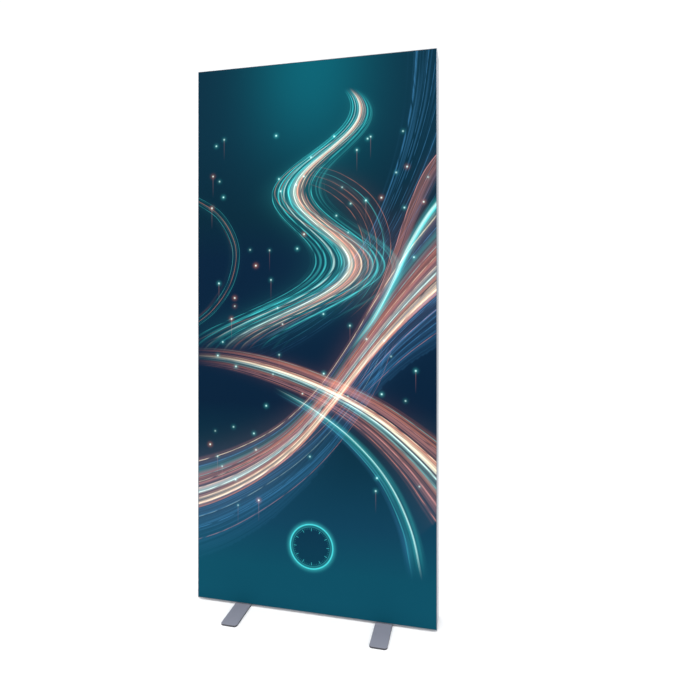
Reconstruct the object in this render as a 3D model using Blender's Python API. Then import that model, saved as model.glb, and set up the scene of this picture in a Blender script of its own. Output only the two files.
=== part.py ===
"""Free-standing LED fabric light box: aluminium frame, stretched textile print, flat swivel feet.

Metres, +Z up, front towards -Y, origin on the floor under the middle of the frame.
"""

import math

import bmesh
import bpy
from mathutils import Vector
from mathutils.geometry import interpolate_bezier

# Frame
FRAME_HEIGHT = 2.000
FRAME_WIDTH = 0.900
FRAME_DEPTH = 0.100

# Rail section: U runs inward from the outer face, V runs backward from the front edge
RAIL_WIDTH = 0.026
OUTER_WALL = 0.002
GROOVE_WIDTH = 0.0035
GROOVE_DEPTH = 0.014
GROOVE_WALL = 0.0015
GROOVE_WALL_SETBACK = 0.0012
WEB = 0.002
LIP_WALL = 0.0015
LIP_LENGTH = 0.008
REAR_FLANGE = 0.0015
REAR_FLANGE_WIDTH = 0.012

# Gaps between pieces that touch
GAP = 0.0003
MITRE_GAP = 0.00022
FIT_CLEARANCE = 0.0005

# Back wall
PANEL_THICKNESS = 0.003
JOINT_FLANGE_HEIGHT = 0.008
JOINT_FLANGE = 0.001
JOINT_WEB = 0.0012

# LED strips and their supply
LED_ROWS = 12
LED_BAR_HEIGHT = 0.014
LED_BAR_THICKNESS = 0.002
LENSES_PER_ROW = 4
LENS_TO_FRAME_SIDE = 0.090
LENS_RADIUS = 0.0055
LENS_HEIGHT = 0.005
LENS_SEGMENTS = 12
CHIP_FROM_LENS = 0.085
CHIP_SIZE = (0.008, 0.0012, 0.005)
STRIP_END_GAP = 0.002
BUS_WIDTH = 0.008
BUS_LINK_OVERLAP = 0.012
BUS_LINK_THICKNESS = 0.004
DRIVER_LENGTH = 0.240
DRIVER_HEIGHT = 0.018
DRIVER_DEPTH = 0.040
DRIVER_EAR = 0.014
DRIVER_EAR_THICKNESS = 0.002
DRIVER_SLOTS = 9
DRIVER_SLOT_PITCH = 0.018
DRIVER_SLOT_WIDTH = 0.004
DRIVER_SLOT_DEPTH = 0.0015
LEAD_RADIUS = 0.0015

# Mains inlet in the back wall
INLET_X = 0.200
INLET_ABOVE_FRAME_BOTTOM = 0.052
INLET_FLANGE = (0.040, 0.024)
INLET_BODY = (0.028, 0.017)
INLET_BODY_DEPTH = 0.022
INLET_CAVITY = (0.022, 0.0095)
INLET_CAVITY_DEPTH = 0.014
INLET_PIN_RADIUS = 0.0012
INLET_PIN_SPACING = 0.012
INLET_PIN_LENGTH = 0.009

# Corner and side connectors, in the rails' inner channel
CORNER_LEG = 0.070
CORNER_THICKNESS = 0.020
CORNER_FILLET = 0.022
CORNER_SIDE_CLEARANCE = 0.001
CORNER_SCREW_AT = 0.056
SPLICE_LENGTH = 0.160
SPLICE_THICKNESS = 0.005
SPLICE_DEPTH = 0.045
SPLICE_SCREW_FROM_END = 0.020
FIXING_RADIUS = 0.0025
FIXING_HEAD_RADIUS = 0.0045
FIXING_HEAD_HEIGHT = 0.0025

# Print
PRINT_THICKNESS = 0.0006
EDGING_THICKNESS = 0.0025
EDGING_DEPTH = 0.012

# Feet
FOOT_LENGTH = 0.350
FOOT_WIDTH = 0.060
FOOT_THICKNESS = 0.004
FOOT_CORNER = 0.010
FOOT_TO_FRAME_SIDE = 0.185
PAD_THICKNESS = 0.0015
WASHER_THICKNESS = 0.001
WASHER_RADIUS = 0.015
PIVOT_RADIUS = 0.003
PIVOT_HEAD_RADIUS = 0.006
PIVOT_HEAD_HEIGHT = 0.0033
PIVOT_HEAD_RECESS = 0.0003
PIVOT_TIP = 0.001
PAD_HOLE_RADIUS = 0.008
NUT_PLATE = (0.050, 0.040, 0.004)

ARC_STEPS = 6
ROUND_SEGMENTS = 20

# Levels and places worked out from the sizes above
FOOT_Z = PAD_THICKNESS + GAP
WASHER_Z = FOOT_Z + FOOT_THICKNESS + GAP
FRAME_Z = WASHER_Z + WASHER_THICKNESS + GAP
FRAME_TOP = FRAME_Z + FRAME_HEIGHT
MIDDLE_Z = FRAME_Z + FRAME_HEIGHT / 2
HALF_WIDTH = FRAME_WIDTH / 2
FRONT_Y = -FRAME_DEPTH / 2
BACK_Y = FRAME_DEPTH / 2
PANEL_SLOT = PANEL_THICKNESS + 2 * GAP
PANEL_BACK_Y = BACK_Y - REAR_FLANGE - GAP
PANEL_FRONT_Y = PANEL_BACK_Y - PANEL_THICKNESS
CHANNEL_BACK_Y = BACK_Y - REAR_FLANGE - PANEL_SLOT - WEB
LIP_FRONT_Y = FRONT_Y + GROOVE_DEPTH + LIP_LENGTH
LIP_BACK_Y = CHANNEL_BACK_Y + WEB - LIP_LENGTH
CHANNEL_MIDDLE_Y = (LIP_FRONT_Y + LIP_BACK_Y) / 2
FOOT_X = HALF_WIDTH - FOOT_TO_FRAME_SIDE
LED_BACK_Y = PANEL_FRONT_Y - GAP
LED_FRONT_Y = LED_BACK_Y - LED_BAR_THICKNESS
BUS_LEFT_X = -HALF_WIDTH + RAIL_WIDTH + GAP
BUS_RIGHT_X = BUS_LEFT_X + BUS_WIDTH

# Colour, roughness, metallic
FINISHES = {
    "aluminium": ((0.52, 0.54, 0.57), 0.35, 1.0),
    "connector": ((0.62, 0.62, 0.64), 0.45, 0.0),
    "steel": ((0.55, 0.55, 0.56), 0.30, 1.0),
    "panel": ((0.72, 0.71, 0.75), 0.55, 0.0),
    "led_bar": ((0.76, 0.76, 0.71), 0.50, 0.0),
    "bus": ((0.74, 0.74, 0.70), 0.50, 0.0),
    "driver": ((0.60, 0.61, 0.63), 0.50, 0.0),
    "inlet": ((0.03, 0.03, 0.03), 0.45, 0.0),
    "lead": ((0.70, 0.70, 0.70), 0.50, 0.0),
    "print": ((0.01, 0.09, 0.14), 0.80, 0.0),
    "silicone": ((0.65, 0.66, 0.66), 0.50, 0.0),
    "foot_paint": ((0.26, 0.27, 0.33), 0.50, 0.0),
    "rubber": ((0.03, 0.03, 0.03), 0.85, 0.0),
    "nylon": ((0.10, 0.10, 0.11), 0.50, 0.0),
}


def clear_scene():
    for old in list(bpy.data.objects):
        bpy.data.objects.remove(old)


def make_material(name, finish):
    colour, roughness, metallic = FINISHES[finish]
    material = bpy.data.materials.new(name)
    material.use_nodes = True
    shader = material.node_tree.nodes["Principled BSDF"]
    shader.inputs["Base Color"].default_value = (*colour, 1.0)
    shader.inputs["Roughness"].default_value = roughness
    shader.inputs["Metallic"].default_value = metallic
    return material


def place(name, mesh, finish, location=(0, 0, 0), rotation=(0, 0, 0), parent=None):
    """Link an object with its material, standing at a location under an optional empty."""
    item = bpy.data.objects.new(name, mesh)
    if finish:
        item.data.materials.clear()
        item.data.materials.append(make_material(name, finish))
    item.location = location
    item.rotation_euler = rotation
    item.parent = parent
    bpy.context.scene.collection.objects.link(item)
    return item


def pivot(name, location, rotation=(0, 0, 0)):
    return place(name, None, None, location, rotation)


def to_mesh(name, shape):
    bmesh.ops.recalc_face_normals(shape, faces=shape.faces)
    mesh = bpy.data.meshes.new(name)
    shape.to_mesh(mesh)
    shape.free()
    return mesh


def prism(name, outline, near, far):
    """Extrude a closed outline: near() puts a point in space, far() carries it to the other end."""
    shape = bmesh.new()
    cap = shape.faces.new([shape.verts.new(near(*point)) for point in outline])
    swept = bmesh.ops.extrude_face_region(shape, geom=[cap])["geom"]
    for item in swept:
        if isinstance(item, bmesh.types.BMVert):
            item.co = far(*item.co)
    return to_mesh(name, shape)


def prism_x(name, outline, low, high):
    return prism(name, outline, lambda a, b: (low, a, b), lambda x, y, z: (high, y, z))


def prism_y(name, outline, low, high):
    return prism(name, outline, lambda a, b: (a, low, b), lambda x, y, z: (x, high, z))


def prism_z(name, outline, low, high):
    return prism(name, outline, lambda a, b: (a, b, low), lambda x, y, z: (x, y, high))


def rectangle(low, high):
    return [(low[0], low[1]), (high[0], low[1]), (high[0], high[1]), (low[0], high[1])]


def centred(width, height):
    return rectangle((-width / 2, -height / 2), (width / 2, height / 2))


def block(name, low, high):
    return prism_z(name, rectangle(low, high), low[2], high[2])


def arc(centre, radius, start, end, steps=ARC_STEPS):
    """Points of an arc from one angle to another, in degrees."""
    angles = [math.radians(start + (end - start) * step / steps) for step in range(steps + 1)]
    return [(centre[0] + radius * math.cos(a), centre[1] + radius * math.sin(a)) for a in angles]


def rounded(width, height, radius):
    x = width / 2 - radius
    y = height / 2 - radius
    corners = ((x, y, 0), (-x, y, 90), (-x, -y, 180), (x, -y, 270))
    points = []
    for corner_x, corner_y, angle in corners:
        points += arc((corner_x, corner_y), radius, angle, angle + 90)
    return points


def turned(name, profile, segments=ROUND_SEGMENTS):
    """Spin an (r, z) profile once round Z; it closes on the axis or on itself."""
    shape = bmesh.new()
    verts = [shape.verts.new((radius, 0, z)) for radius, z in profile]
    edges = [shape.edges.new(pair) for pair in zip(verts, verts[1:])]
    if profile[0][0] > 0:
        edges.append(shape.edges.new((verts[-1], verts[0])))
    bmesh.ops.spin(
        shape, geom=verts + edges, axis=(0, 0, 1), cent=(0, 0, 0), steps=segments, angle=math.tau
    )
    bmesh.ops.remove_doubles(shape, verts=shape.verts, dist=1e-6)
    return to_mesh(name, shape)


def smooth(item):
    item.data.shade_smooth()
    item.data.set_sharp_from_angle(angle=math.radians(35))


def guide(name, mesh, location=(0, 0, 0), rotation=(0, 0, 0), parent=None):
    """A cutter or an added lump, which only its Boolean shows."""
    item = place(name, mesh, None, location, rotation, parent)
    item.hide_render = True
    item.display_type = "WIRE"
    return item


def boolean(item, other, operation):
    modifier = item.modifiers.new(other.name, "BOOLEAN")
    modifier.object = other
    modifier.operation = operation
    modifier.solver = "EXACT"


def baked_mesh(name, item):
    """The item's mesh with its modifiers, for several objects to share."""
    graph = bpy.context.evaluated_depsgraph_get()
    mesh = bpy.data.meshes.new_from_object(item.evaluated_get(graph))
    mesh.name = name
    return mesh


# Frame rails

def rail_section():
    """The rail's outline in (U, V): print groove in front, channel inside, wall slot behind."""
    groove_inner = OUTER_WALL + GROOVE_WIDTH
    groove_side = groove_inner + GROOVE_WALL
    lip_side = RAIL_WIDTH - LIP_WALL
    channel_front = GROOVE_DEPTH + WEB
    slot_back = FRAME_DEPTH - REAR_FLANGE
    slot_front = slot_back - PANEL_SLOT
    channel_back = slot_front - WEB
    return [
        (0, 0),
        (OUTER_WALL, 0),
        (OUTER_WALL, GROOVE_DEPTH),
        (groove_inner, GROOVE_DEPTH),
        (groove_inner, GROOVE_WALL_SETBACK),
        (groove_side, GROOVE_WALL_SETBACK),
        (groove_side, GROOVE_DEPTH),
        (RAIL_WIDTH, GROOVE_DEPTH),
        (RAIL_WIDTH, GROOVE_DEPTH + LIP_LENGTH),
        (lip_side, GROOVE_DEPTH + LIP_LENGTH),
        (lip_side, channel_front),
        (OUTER_WALL, channel_front),
        (OUTER_WALL, channel_back),
        (lip_side, channel_back),
        (lip_side, slot_front - LIP_LENGTH),
        (RAIL_WIDTH, slot_front - LIP_LENGTH),
        (RAIL_WIDTH, slot_front),
        (OUTER_WALL, slot_front),
        (OUTER_WALL, slot_back),
        (REAR_FLANGE_WIDTH, slot_back),
        (REAR_FLANGE_WIDTH, FRAME_DEPTH),
        (0, FRAME_DEPTH),
    ]


def mitre(at, direction):
    """A 45 degree end, cut inward from the frame's outer corner."""
    return lambda u: at + direction * (u + MITRE_GAP)


def square(at, direction):
    """A straight end that leaves half a gap to the next rail."""
    return lambda u: at + direction * GAP / 2


def rail(name, near_end, far_end, corner):
    """A rail along its corner's X, its outer face at Z = 0 and its channel open towards +Z."""
    mesh = prism(
        name,
        rail_section(),
        lambda u, v: (near_end(u), FRONT_Y + v, u),
        lambda x, y, z: (far_end(z), y, z),
    )
    return place(name, mesh, "aluminium", parent=corner)


def frame_corners():
    """An empty at each outer corner: X runs along the frame's next side and Z points inward."""
    spots = {
        "bottom_left": ((-HALF_WIDTH, 0, FRAME_Z), 0),
        "bottom_right": ((HALF_WIDTH, 0, FRAME_Z), -90),
        "top_right": ((HALF_WIDTH, 0, FRAME_TOP), 180),
        "top_left": ((-HALF_WIDTH, 0, FRAME_TOP), 90),
    }
    return {
        name: pivot(f"corner_{name}", spot, (0, math.radians(angle), 0))
        for name, (spot, angle) in spots.items()
    }


def build_rails(corners):
    half = FRAME_HEIGHT / 2
    across = (mitre(0, 1), mitre(FRAME_WIDTH, -1))
    from_corner = (mitre(0, 1), square(half, -1))
    to_corner = (square(half, 1), mitre(FRAME_HEIGHT, -1))
    rail("rail_bottom", *across, corners["bottom_left"])
    rail("rail_top", *across, corners["top_right"])
    rail("rail_right_lower", *from_corner, corners["bottom_right"])
    rail("rail_right_upper", *to_corner, corners["bottom_right"])
    rail("rail_left_upper", *from_corner, corners["top_left"])
    rail("rail_left_lower", *to_corner, corners["top_left"])


# Connectors in the rails' channel

def fixing_screw(name, location, rotation, parent, shank):
    """A button-head screw: its head rests at Z = 0 and its shank points down."""
    profile = [
        (0, -shank),
        (FIXING_RADIUS, -shank),
        (FIXING_RADIUS, 0),
        (FIXING_HEAD_RADIUS, 0),
        (FIXING_HEAD_RADIUS, FIXING_HEAD_HEIGHT / 2),
        (FIXING_HEAD_RADIUS / 2, FIXING_HEAD_HEIGHT),
        (0, FIXING_HEAD_HEIGHT),
    ]
    screw = place(name, turned(name, profile, LENS_SEGMENTS), "steel", location, rotation, parent)
    smooth(screw)


def bore(item, location, rotation, parent, radius, depth):
    """Cut a through hole of a radius round an axis, both ways from its location."""
    profile = [(0, -depth), (radius, -depth), (radius, depth), (0, depth)]
    name = f"{item.name}_bore"
    cutter = guide(name, turned(name, profile), location, rotation, parent)
    boolean(item, cutter, "DIFFERENCE")


def build_corner(name, corner):
    """An L with a rounded inner corner, held by one screw in each leg."""
    leg_floor = OUTER_WALL + GAP
    end = CORNER_LEG + leg_floor
    face = CORNER_THICKNESS + leg_floor
    fillet = face + CORNER_FILLET
    outline = [(leg_floor, leg_floor), (end, leg_floor), (end, face)]
    outline += arc((fillet, fillet), CORNER_FILLET, 270, 180)
    outline += [(face, end), (leg_floor, end)]
    low = LIP_FRONT_Y + CORNER_SIDE_CLEARANCE
    high = LIP_BACK_Y - CORNER_SIDE_CLEARANCE
    piece = place(name, prism_y(name, outline, low, high), "connector", parent=corner)
    head = face + GAP
    shank = head - leg_floor
    along = ((CORNER_SCREW_AT, CHANNEL_MIDDLE_Y, head), (0, 0, 0))
    up = ((head, CHANNEL_MIDDLE_Y, CORNER_SCREW_AT), (0, math.radians(90), 0))
    for index, (spot, turn) in enumerate((along, up)):
        bore(piece, spot, turn, corner, FIXING_RADIUS + GAP, CORNER_THICKNESS * 2)
        fixing_screw(f"{name}_screw_{index + 1}", spot, turn, corner, shank)


def build_splice(side, corner):
    """A flat bar that bridges the joint of a side's two rails, in line with its corner's X."""
    name = f"splice_{side}"
    middle = FRAME_HEIGHT / 2
    floor = OUTER_WALL + GAP
    face = floor + SPLICE_THICKNESS
    low = (middle - SPLICE_LENGTH / 2, CHANNEL_MIDDLE_Y - SPLICE_DEPTH / 2, floor)
    high = (middle + SPLICE_LENGTH / 2, CHANNEL_MIDDLE_Y + SPLICE_DEPTH / 2, face)
    bar = place(name, block(name, low, high), "steel", parent=corner)
    spot = (high[0] - SPLICE_SCREW_FROM_END, CHANNEL_MIDDLE_Y, face + GAP)
    bore(bar, spot, (0, 0, 0), corner, FIXING_RADIUS + GAP, SPLICE_THICKNESS * 2)
    fixing_screw(f"{name}_screw", spot, (0, 0, 0), corner, SPLICE_THICKNESS + GAP)


# Back wall

def build_panels():
    edge = HALF_WIDTH - OUTER_WALL - FIT_CLEARANCE
    joint = JOINT_WEB / 2 + FIT_CLEARANCE
    bottom = FRAME_Z + OUTER_WALL + FIT_CLEARANCE
    top = FRAME_TOP - OUTER_WALL - FIT_CLEARANCE
    spans = {"lower": (bottom, MIDDLE_Z - joint), "upper": (MIDDLE_Z + joint, top)}
    panels = {}
    for half, (low, high) in spans.items():
        name = f"back_panel_{half}"
        mesh = block(name, (-edge, PANEL_FRONT_Y, low), (edge, PANEL_BACK_Y, high))
        panels[half] = place(name, mesh, "panel")
    return panels


def build_panel_joint():
    """An H strip across the box that holds the two panels' meeting edges."""
    flange = JOINT_FLANGE_HEIGHT / 2
    web = JOINT_WEB / 2
    front_inner = PANEL_FRONT_Y - GAP
    back_inner = PANEL_BACK_Y + GAP
    front_outer = front_inner - JOINT_FLANGE
    back_outer = back_inner + JOINT_FLANGE
    half_outline = [
        (front_outer, -flange),
        (front_inner, -flange),
        (front_inner, -web),
        (back_inner, -web),
        (back_inner, -flange),
        (back_outer, -flange),
    ]
    outline = half_outline + [(y, -z) for y, z in reversed(half_outline)]
    end = HALF_WIDTH - RAIL_WIDTH - GAP
    name = "back_panel_joint"
    place(name, prism_x(name, outline, -end, end), "aluminium", (0, 0, MIDDLE_Z))


# Lighting

def lens_places():
    """Each lens's X, even across the frame."""
    first = -HALF_WIDTH + LENS_TO_FRAME_SIDE
    pitch = (FRAME_WIDTH - 2 * LENS_TO_FRAME_SIDE) / (LENSES_PER_ROW - 1)
    return [first + pitch * index for index in range(LENSES_PER_ROW)]


def led_strip_mesh():
    """One bar with its lenses and the small driver chips between them."""
    left = BUS_RIGHT_X + GAP
    right = HALF_WIDTH - RAIL_WIDTH - STRIP_END_GAP
    half_height = LED_BAR_HEIGHT / 2
    name = "led_strip_master"
    bar = block(name, (left, LED_FRONT_Y, -half_height), (right, LED_BACK_Y, half_height))
    master = guide(name, bar)
    embed = LED_BAR_THICKNESS / 2
    dome = [
        (0, -embed),
        (LENS_RADIUS, -embed),
        (LENS_RADIUS, LENS_HEIGHT * 0.4),
        (LENS_RADIUS * 0.6, LENS_HEIGHT),
        (0, LENS_HEIGHT),
    ]
    lens = turned("lens", dome, LENS_SEGMENTS)
    lumps = [master]
    for index, x in enumerate(lens_places()):
        facing_front = (math.radians(90), 0, 0)
        lump = guide(f"lens_{index + 1}", lens, (x, LED_FRONT_Y, 0), facing_front)
        boolean(master, lump, "UNION")
        lumps.append(lump)
    width, thickness, height = CHIP_SIZE
    low = (-width / 2, LED_FRONT_Y - thickness, -height / 2)
    chip = block("chip", low, (width / 2, LED_FRONT_Y + embed, height / 2))
    for index, x in enumerate(lens_places()[1:]):
        lump = guide(f"chip_{index + 1}", chip, (x - CHIP_FROM_LENS, 0, 0))
        boolean(master, lump, "UNION")
        lumps.append(lump)
    mesh = baked_mesh("led_strip", master)
    for lump in lumps:
        bpy.data.objects.remove(lump)
    return mesh


def build_led_strips():
    shared = led_strip_mesh()
    shared.materials.clear()
    shared.materials.append(make_material("led_strip", "led_bar"))
    pitch = FRAME_HEIGHT / LED_ROWS
    for row in range(LED_ROWS):
        z = FRAME_Z + pitch * (row + 0.5)
        place(f"led_strip_{row + 1:02d}", shared, None, (0, 0, z))


def build_bus():
    """The supply strip down the left side, in a lower and an upper half joined by a plug."""
    joint = JOINT_FLANGE_HEIGHT / 2 + GAP
    inner = RAIL_WIDTH + GAP
    spans = {
        "lower": (FRAME_Z + inner, MIDDLE_Z - joint),
        "upper": (MIDDLE_Z + joint, FRAME_TOP - inner),
    }
    for half, (low, high) in spans.items():
        name = f"supply_bus_{half}"
        corner = (BUS_LEFT_X, LED_FRONT_Y, low)
        place(name, block(name, corner, (BUS_RIGHT_X, LED_BACK_Y, high)), "bus")
    reach = joint + BUS_LINK_OVERLAP
    back = LED_FRONT_Y - GAP
    low = (BUS_LEFT_X, back - BUS_LINK_THICKNESS, MIDDLE_Z - reach)
    name = "supply_bus_link"
    place(name, block(name, low, (BUS_RIGHT_X, back, MIDDLE_Z + reach)), "connector")


def build_driver():
    """The LED driver in the bottom rail: a slotted case on a base with an ear at each end."""
    half = DRIVER_LENGTH / 2
    case = half - DRIVER_EAR
    floor = FRAME_Z + OUTER_WALL + GAP
    ear = floor + DRIVER_EAR_THICKNESS
    top = floor + DRIVER_HEIGHT
    outline = [(-half, floor), (half, floor), (half, ear), (case, ear)]
    outline += [(case, top), (-case, top), (-case, ear), (-half, ear)]
    low = CHANNEL_MIDDLE_Y - DRIVER_DEPTH / 2
    high = CHANNEL_MIDDLE_Y + DRIVER_DEPTH / 2
    driver = place("led_driver", prism_y("led_driver", outline, low, high), "driver")
    slot = block(
        "driver_slot",
        (-DRIVER_SLOT_WIDTH / 2, -DRIVER_DEPTH / 4, -DRIVER_SLOT_DEPTH),
        (DRIVER_SLOT_WIDTH / 2, DRIVER_DEPTH / 4, DRIVER_SLOT_DEPTH),
    )
    for index in range(DRIVER_SLOTS):
        x = (index - (DRIVER_SLOTS - 1) / 2) * DRIVER_SLOT_PITCH
        spot = (x, CHANNEL_MIDDLE_Y, top)
        boolean(driver, guide(f"driver_slot_{index + 1}", slot, spot), "DIFFERENCE")


def build_inlet(panel):
    """A two-pin mains inlet through the lower panel: flange outside, body inside."""
    z = FRAME_Z + INLET_ABOVE_FRAME_BOTTOM
    flange_front = PANEL_BACK_Y + GAP
    body_front = PANEL_FRONT_Y - INLET_BODY_DEPTH
    embed = REAR_FLANGE / 2
    name = "mains_inlet"
    inlet = place(name, prism_y(name, centred(*INLET_FLANGE), flange_front, BACK_Y), "inlet", (INLET_X, 0, z))
    body = prism_y("inlet_body", centred(*INLET_BODY), body_front, flange_front + embed)
    boolean(inlet, guide("inlet_body", body, inlet.location), "UNION")
    cavity_front = BACK_Y - INLET_CAVITY_DEPTH
    cavity_outline = rounded(*INLET_CAVITY, INLET_CAVITY[1] * 0.45)
    cavity = prism_y("inlet_cavity", cavity_outline, cavity_front, BACK_Y + embed)
    boolean(inlet, guide("inlet_cavity", cavity, inlet.location), "DIFFERENCE")
    reach = INLET_PIN_LENGTH + embed
    profile = [(0, 0), (INLET_PIN_RADIUS, 0), (INLET_PIN_RADIUS, reach), (0, reach)]
    pin = turned("inlet_pin", profile, LENS_SEGMENTS)
    for side in (-1, 1):
        spot = (INLET_X + side * INLET_PIN_SPACING / 2, cavity_front - embed, z)
        lump = guide(f"inlet_pin_{side}", pin, spot, (math.radians(-90), 0, 0))
        boolean(inlet, lump, "UNION")
    width, height = INLET_BODY
    hole_outline = centred(width + 2 * FIT_CLEARANCE, height + 2 * FIT_CLEARANCE)
    hole = prism_y("inlet_hole", hole_outline, PANEL_FRONT_Y - embed, PANEL_BACK_Y + embed)
    boolean(panel, guide("inlet_hole", hole, inlet.location), "DIFFERENCE")


def build_lead(name, route):
    """A wire along a smooth curve through its route's points."""
    curve = bpy.data.curves.new(name, "CURVE")
    curve.dimensions = "3D"
    curve.bevel_depth = LEAD_RADIUS
    curve.bevel_resolution = 2
    curve.use_fill_caps = True
    points = smooth_route([Vector(point) for point in route])
    spline = curve.splines.new("POLY")
    spline.points.add(len(points) - 1)
    for target, point in zip(spline.points, points):
        target.co = (*point, 1)
    place(name, curve, "lead")


def smooth_route(points, steps=6):
    """Points of a curve through a route, which passes each point along its neighbours' line."""
    padded = [points[0], *points, points[-1]]
    ways = [(after - before).normalized() for before, after in zip(padded, padded[2:])]
    result = [points[0]]
    for start, end, leave, arrive in zip(points, points[1:], ways, ways[1:]):
        reach = (end - start).length / 3
        stretch = interpolate_bezier(start, start + leave * reach, end - arrive * reach, end, steps)
        result += stretch[1:]
    return result


def build_leads():
    """The wires inside the box: bus to driver on the left, inlet to driver on the right."""
    channel_z = FRAME_Z + OUTER_WALL + GAP + DRIVER_HEIGHT * 0.6
    case_end = DRIVER_LENGTH / 2 - DRIVER_EAR + GAP
    above_lip = FRAME_Z + RAIL_WIDTH + 0.014
    wall_y = PANEL_FRONT_Y - GAP - LEAD_RADIUS
    over_y = LIP_BACK_Y - 0.012
    clear_of_corner = -HALF_WIDTH + OUTER_WALL + CORNER_LEG + 0.016
    build_lead(
        "lead_bus_to_driver",
        [
            (BUS_RIGHT_X + GAP, wall_y, above_lip),
            (BUS_RIGHT_X + 0.012, wall_y, above_lip),
            (clear_of_corner, wall_y - 0.004, above_lip),
            (clear_of_corner + 0.018, over_y, above_lip - 0.006),
            (clear_of_corner + 0.030, CHANNEL_MIDDLE_Y + 0.008, channel_z + 0.003),
            (clear_of_corner + 0.060, CHANNEL_MIDDLE_Y, channel_z),
            (-case_end, CHANNEL_MIDDLE_Y, channel_z),
        ],
    )
    inlet_front = PANEL_FRONT_Y - INLET_BODY_DEPTH - GAP
    inlet_z = FRAME_Z + INLET_ABOVE_FRAME_BOTTOM
    build_lead(
        "lead_inlet_to_driver",
        [
            (INLET_X, inlet_front, inlet_z),
            (INLET_X, inlet_front - 0.008, inlet_z),
            (INLET_X - 0.008, over_y - 0.006, inlet_z - 0.016),
            (INLET_X - 0.024, CHANNEL_MIDDLE_Y + 0.004, channel_z + 0.003),
            (case_end + 0.030, CHANNEL_MIDDLE_Y, channel_z),
            (case_end, CHANNEL_MIDDLE_Y, channel_z),
        ],
    )


# Print with its silicone edging, which pulls straight forward out of the groove

def build_print():
    edge = OUTER_WALL + FIT_CLEARANCE
    back = FRONT_Y + GROOVE_WALL_SETBACK - GAP
    front = back - PRINT_THICKNESS
    right = HALF_WIDTH - edge
    bottom = FRAME_Z + edge
    top = FRAME_TOP - edge
    carrier = pivot("print_carrier", (0, FRONT_Y, MIDDLE_Z))

    def print_piece(name, low, high, finish):
        origin = carrier.location
        mesh = block(name, Vector(low) - origin, Vector(high) - origin)
        return place(name, mesh, finish, parent=carrier)

    print_piece("print", (-right, front, bottom), (right, back, top), "print")
    near = FRONT_Y + GROOVE_WALL_SETBACK
    far = near + EDGING_DEPTH
    inner = right - EDGING_THICKNESS
    low_inner = bottom + EDGING_THICKNESS
    high_inner = top - EDGING_THICKNESS
    strips = {
        "bottom": ((-right, near, bottom), (right, far, low_inner)),
        "top": ((-right, near, high_inner), (right, far, top)),
        "left": ((-right, near, low_inner + GAP), (-inner, far, high_inner - GAP)),
        "right": ((inner, near, low_inner + GAP), (right, far, high_inner - GAP)),
    }
    for side, (low, high) in strips.items():
        print_piece(f"print_edging_{side}", low, high, "silicone")


# Feet, which swivel on a screw under the bottom rail

def pivot_profile(clearance, tip):
    """A countersunk screw from its head's flat face at Z = 0 up to a tip."""
    shank = PIVOT_RADIUS + clearance
    head = PIVOT_HEAD_RADIUS + clearance
    return [(0, 0), (head, 0), (shank, PIVOT_HEAD_HEIGHT), (shank, tip), (0, tip)]


def build_foot(side, x):
    empty = pivot(f"foot_{side}_pivot", (x, 0, FOOT_Z))
    outline = rounded(FOOT_WIDTH, FOOT_LENGTH, FOOT_CORNER)
    name = f"foot_{side}_plate"
    plate = place(name, prism_z(name, outline, 0, FOOT_THICKNESS), "foot_paint", parent=empty)
    sink = pivot_profile(GAP, FOOT_THICKNESS * 2)
    mouth = [(0, -FOOT_THICKNESS), (sink[1][0], -FOOT_THICKNESS), *sink[1:]]
    cutter = turned(f"{name}_sink", mouth)
    cutter_item = guide(f"{name}_sink", cutter, (0, 0, PIVOT_HEAD_RECESS), parent=empty)
    boolean(plate, cutter_item, "DIFFERENCE")
    pad_bottom = -FOOT_Z
    name = f"foot_{side}_pad"
    pad_mesh = prism_z(name, outline, pad_bottom, pad_bottom + PAD_THICKNESS)
    pad = place(name, pad_mesh, "rubber", parent=empty)
    bore(pad, (0, 0, pad_bottom), (0, 0, 0), empty, PAD_HOLE_RADIUS, PAD_THICKNESS * 2)


def build_foot_fixings(side, x):
    head_z = FOOT_Z + PIVOT_HEAD_RECESS
    nut_bottom = FRAME_Z + OUTER_WALL + GAP
    nut_length, nut_depth, nut_thickness = NUT_PLATE
    tip = nut_bottom + nut_thickness + PIVOT_TIP - head_z
    name = f"foot_{side}_screw"
    screw = place(name, turned(name, pivot_profile(0, tip)), "steel", (x, 0, head_z))
    smooth(screw)
    hole = PIVOT_RADIUS + GAP
    ring = [(hole, 0), (WASHER_RADIUS, 0), (WASHER_RADIUS, WASHER_THICKNESS), (hole, WASHER_THICKNESS)]
    name = f"foot_{side}_washer"
    washer = place(name, turned(name, ring), "nylon", (x, 0, WASHER_Z))
    smooth(washer)
    name = f"foot_{side}_nut_plate"
    low = (-nut_length / 2, -nut_depth / 2, 0)
    high = (nut_length / 2, nut_depth / 2, nut_thickness)
    nut = place(name, block(name, low, high), "steel", (x, 0, nut_bottom))
    bore(nut, nut.location, (0, 0, 0), None, hole, nut_thickness * 2)
    rail_item = bpy.data.objects["rail_bottom"]
    name = f"foot_{side}_rail_bore"
    profile = [(0, -OUTER_WALL), (hole, -OUTER_WALL), (hole, OUTER_WALL * 2), (0, OUTER_WALL * 2)]
    boolean(rail_item, guide(name, turned(name, profile), (x, 0, FRAME_Z)), "DIFFERENCE")


def main():
    clear_scene()
    corners = frame_corners()
    bpy.context.view_layer.update()
    build_rails(corners)
    for name, corner in corners.items():
        build_corner(f"connector_{name}", corner)
    build_splice("left", corners["top_left"])
    build_splice("right", corners["bottom_right"])
    panels = build_panels()
    build_panel_joint()
    build_led_strips()
    build_bus()
    build_driver()
    build_inlet(panels["lower"])
    build_leads()
    build_print()
    for side, x in (("left", -FOOT_X), ("right", FOOT_X)):
        build_foot(side, x)
        build_foot_fixings(side, x)


main()
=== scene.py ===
"""Looks of a free-standing LED textile light box: print, frame, back lighting and feet.

Metres, +Z up, front towards -Y, origin on the floor under the middle of the frame.
"""

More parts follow.
